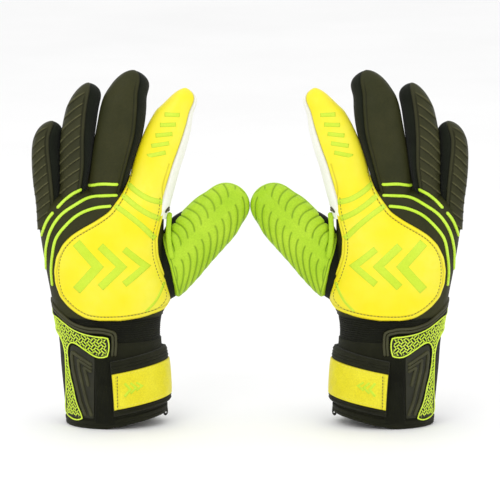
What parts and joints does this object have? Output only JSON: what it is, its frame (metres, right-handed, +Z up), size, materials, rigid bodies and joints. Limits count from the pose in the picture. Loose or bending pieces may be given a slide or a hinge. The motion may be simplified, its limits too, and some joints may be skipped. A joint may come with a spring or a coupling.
{
  "type": "goalkeeper gloves, pair",
  "caption": "Pair of padded goalkeeper gloves with bending fingers and thumbs and a wrist strap that peels open.",
  "frame": {"origin": "on the ground, midway between the two gloves and in the middle of their depth", "axes": "+Z up, from the cuffs to the fingertips; +X from the left-hand glove to the right-hand glove, thumbs towards each other; the backs of the hands face -Y and the palms +Y"},
  "size_m": [0.3464, 0.0658, 0.289],
  "materials": {
    "yellow_latex": "vivid yellow synthetic latex, slightly glossy",
    "lime_latex": "lime embossed latex foam",
    "dark_latex": "very dark olive embossed latex foam",
    "white_latex": "white foam latex, fine-grained and matt",
    "dark_fabric": "near-black ribbed elastic knit",
    "guard_plastic": "dark olive moulded guard with a lime relief pattern",
    "strap_webbing": "dark woven webbing with a loop face",
    "strap_yellow": "yellow synthetic leather patch"
  },
  "bodies": {
    "left_hand": {"left_palm_latex": "white_latex", "left_back_panel": "yellow_latex", "left_knuckle_panel": "dark_latex", "left_thumb_root": "lime_latex", "left_cuff": "dark_fabric", "left_elastic_wristband": "dark_fabric", "left_cuff_guard": "guard_plastic", "left_strap_anchor": "strap_webbing"},
    "left_strap": {"left_strap_flap": "strap_webbing", "left_strap_patch": "strap_yellow"},
    "left_index_base": {"left_index_base_back": "yellow_latex", "left_index_base_palm": "white_latex"},
    "left_index_tip": {"left_index_tip_back": "yellow_latex", "left_index_tip_palm": "white_latex"},
    "left_middle_base": {"left_middle_base_back": "dark_latex", "left_middle_base_palm": "white_latex"},
    "left_middle_tip": {"left_middle_tip_back": "dark_latex", "left_middle_tip_palm": "white_latex"},
    "left_ring_base": {"left_ring_base_back": "dark_latex", "left_ring_base_palm": "white_latex"},
    "left_ring_tip": {"left_ring_tip_back": "dark_latex", "left_ring_tip_palm": "white_latex"},
    "left_little_base": {"left_little_base_back": "dark_latex", "left_little_base_palm": "white_latex"},
    "left_little_tip": {"left_little_tip_back": "dark_latex", "left_little_tip_palm": "white_latex"},
    "left_thumb_base": {"left_thumb_base_back": "lime_latex", "left_thumb_base_palm": "white_latex"},
    "left_thumb_tip": {"left_thumb_tip_back": "lime_latex", "left_thumb_tip_palm": "white_latex"},
    "right_hand": {"right_palm_latex": "white_latex", "right_back_panel": "yellow_latex", "right_knuckle_panel": "dark_latex", "right_thumb_root": "lime_latex", "right_cuff": "dark_fabric", "right_elastic_wristband": "dark_fabric", "right_cuff_guard": "guard_plastic", "right_strap_anchor": "strap_webbing"},
    "right_strap": {"right_strap_flap": "strap_webbing", "right_strap_patch": "strap_yellow"},
    "right_index_base": {"right_index_base_back": "yellow_latex", "right_index_base_palm": "white_latex"},
    "right_index_tip": {"right_index_tip_back": "yellow_latex", "right_index_tip_palm": "white_latex"},
    "right_middle_base": {"right_middle_base_back": "dark_latex", "right_middle_base_palm": "white_latex"},
    "right_middle_tip": {"right_middle_tip_back": "dark_latex", "right_middle_tip_palm": "white_latex"},
    "right_ring_base": {"right_ring_base_back": "dark_latex", "right_ring_base_palm": "white_latex"},
    "right_ring_tip": {"right_ring_tip_back": "dark_latex", "right_ring_tip_palm": "white_latex"},
    "right_little_base": {"right_little_base_back": "dark_latex", "right_little_base_palm": "white_latex"},
    "right_little_tip": {"right_little_tip_back": "dark_latex", "right_little_tip_palm": "white_latex"},
    "right_thumb_base": {"right_thumb_base_back": "lime_latex", "right_thumb_base_palm": "white_latex"},
    "right_thumb_tip": {"right_thumb_tip_back": "lime_latex", "right_thumb_tip_palm": "white_latex"}
  },
  "joints": [
    {"name": "left_index_base_flex", "type": "hinge", "parent": "left_hand", "child": "left_index_base", "pos_m": [-0.0794, 0, 0.196], "axis": [-1, 0, 0], "range_deg": [0, 60], "stiffness_Nm_per_rad": 0.2},
    {"name": "left_index_tip_flex", "type": "hinge", "parent": "left_index_base", "child": "left_index_tip", "pos_m": [-0.0699, 0.0025, 0.2336], "axis": [-1, 0, 0], "range_deg": [0, 70], "stiffness_Nm_per_rad": 0.2},
    {"name": "left_middle_base_flex", "type": "hinge", "parent": "left_hand", "child": "left_middle_base", "pos_m": [-0.1144, 0, 0.1992], "axis": [-1, 0, 0], "range_deg": [0, 60], "stiffness_Nm_per_rad": 0.2},
    {"name": "left_middle_tip_flex", "type": "hinge", "parent": "left_middle_base", "child": "left_middle_tip", "pos_m": [-0.1058, 0.003, 0.2416], "axis": [-1, 0, 0], "range_deg": [0, 70], "stiffness_Nm_per_rad": 0.2},
    {"name": "left_ring_base_flex", "type": "hinge", "parent": "left_hand", "child": "left_ring_base", "pos_m": [-0.1406, 0, 0.196], "axis": [-1, 0, 0], "range_deg": [0, 60], "stiffness_Nm_per_rad": 0.2},
    {"name": "left_ring_tip_flex", "type": "hinge", "parent": "left_ring_base", "child": "left_ring_tip", "pos_m": [-0.138, 0.003, 0.2344], "axis": [-1, 0, 0], "range_deg": [0, 70], "stiffness_Nm_per_rad": 0.2},
    {"name": "left_little_base_flex", "type": "hinge", "parent": "left_hand", "child": "left_little_base", "pos_m": [-0.1616, 0, 0.182], "axis": [-1, 0, 0], "range_deg": [0, 60], "stiffness_Nm_per_rad": 0.2},
    {"name": "left_little_tip_flex", "type": "hinge", "parent": "left_little_base", "child": "left_little_tip", "pos_m": [-0.1632, 0.0025, 0.212], "axis": [-1, 0, 0], "range_deg": [0, 70], "stiffness_Nm_per_rad": 0.2},
    {"name": "left_thumb_base_flex", "type": "hinge", "parent": "left_hand", "child": "left_thumb_base", "pos_m": [-0.0455, 0.004, 0.1503], "axis": [-0.7071, 0, 0.7071], "range_deg": [0, 35], "stiffness_Nm_per_rad": 0.2},
    {"name": "left_thumb_tip_flex", "type": "hinge", "parent": "left_thumb_base", "child": "left_thumb_tip", "pos_m": [-0.0271, 0.006, 0.1687], "axis": [-0.7071, 0, 0.7071], "range_deg": [0, 45], "stiffness_Nm_per_rad": 0.2},
    {"name": "left_strap_open", "type": "hinge", "parent": "left_hand", "child": "left_strap", "pos_m": [-0.0632, 0.0005, 0.035], "axis": [0, 0, 1], "range_deg": [0, 110], "stiffness_Nm_per_rad": 0.01},
    {"name": "right_index_base_flex", "type": "hinge", "parent": "right_hand", "child": "right_index_base", "pos_m": [0.0794, 0, 0.196], "axis": [-1, 0, 0], "range_deg": [0, 60], "stiffness_Nm_per_rad": 0.2},
    {"name": "right_index_tip_flex", "type": "hinge", "parent": "right_index_base", "child": "right_index_tip", "pos_m": [0.0699, 0.0025, 0.2336], "axis": [-1, 0, 0], "range_deg": [0, 70], "stiffness_Nm_per_rad": 0.2},
    {"name": "right_middle_base_flex", "type": "hinge", "parent": "right_hand", "child": "right_middle_base", "pos_m": [0.1144, 0, 0.1992], "axis": [-1, 0, 0], "range_deg": [0, 60], "stiffness_Nm_per_rad": 0.2},
    {"name": "right_middle_tip_flex", "type": "hinge", "parent": "right_middle_base", "child": "right_middle_tip", "pos_m": [0.1058, 0.003, 0.2416], "axis": [-1, 0, 0], "range_deg": [0, 70], "stiffness_Nm_per_rad": 0.2},
    {"name": "right_ring_base_flex", "type": "hinge", "parent": "right_hand", "child": "right_ring_base", "pos_m": [0.1406, 0, 0.196], "axis": [-1, 0, 0], "range_deg": [0, 60], "stiffness_Nm_per_rad": 0.2},
    {"name": "right_ring_tip_flex", "type": "hinge", "parent": "right_ring_base", "child": "right_ring_tip", "pos_m": [0.138, 0.003, 0.2344], "axis": [-1, 0, 0], "range_deg": [0, 70], "stiffness_Nm_per_rad": 0.2},
    {"name": "right_little_base_flex", "type": "hinge", "parent": "right_hand", "child": "right_little_base", "pos_m": [0.1616, 0, 0.182], "axis": [-1, 0, 0], "range_deg": [0, 60], "stiffness_Nm_per_rad": 0.2},
    {"name": "right_little_tip_flex", "type": "hinge", "parent": "right_little_base", "child": "right_little_tip", "pos_m": [0.1632, 0.0025, 0.212], "axis": [-1, 0, 0], "range_deg": [0, 70], "stiffness_Nm_per_rad": 0.2},
    {"name": "right_thumb_base_flex", "type": "hinge", "parent": "right_hand", "child": "right_thumb_base", "pos_m": [0.0455, 0.004, 0.1503], "axis": [-0.7071, 0, -0.7071], "range_deg": [0, 35], "stiffness_Nm_per_rad": 0.2},
    {"name": "right_thumb_tip_flex", "type": "hinge", "parent": "right_thumb_base", "child": "right_thumb_tip", "pos_m": [0.0271, 0.006, 0.1687], "axis": [-0.7071, 0, -0.7071], "range_deg": [0, 45], "stiffness_Nm_per_rad": 0.2},
    {"name": "right_strap_open", "type": "hinge", "parent": "right_hand", "child": "right_strap", "pos_m": [0.0632, 0.0005, 0.035], "axis": [0, 0, -1], "range_deg": [0, 110], "stiffness_Nm_per_rad": 0.01},
    {"name": "pair_spread", "type": "slide", "parent": "left_hand", "child": "right_hand", "axis": [1, 0, 0], "range_m": [0, 0.15]}
  ]
}
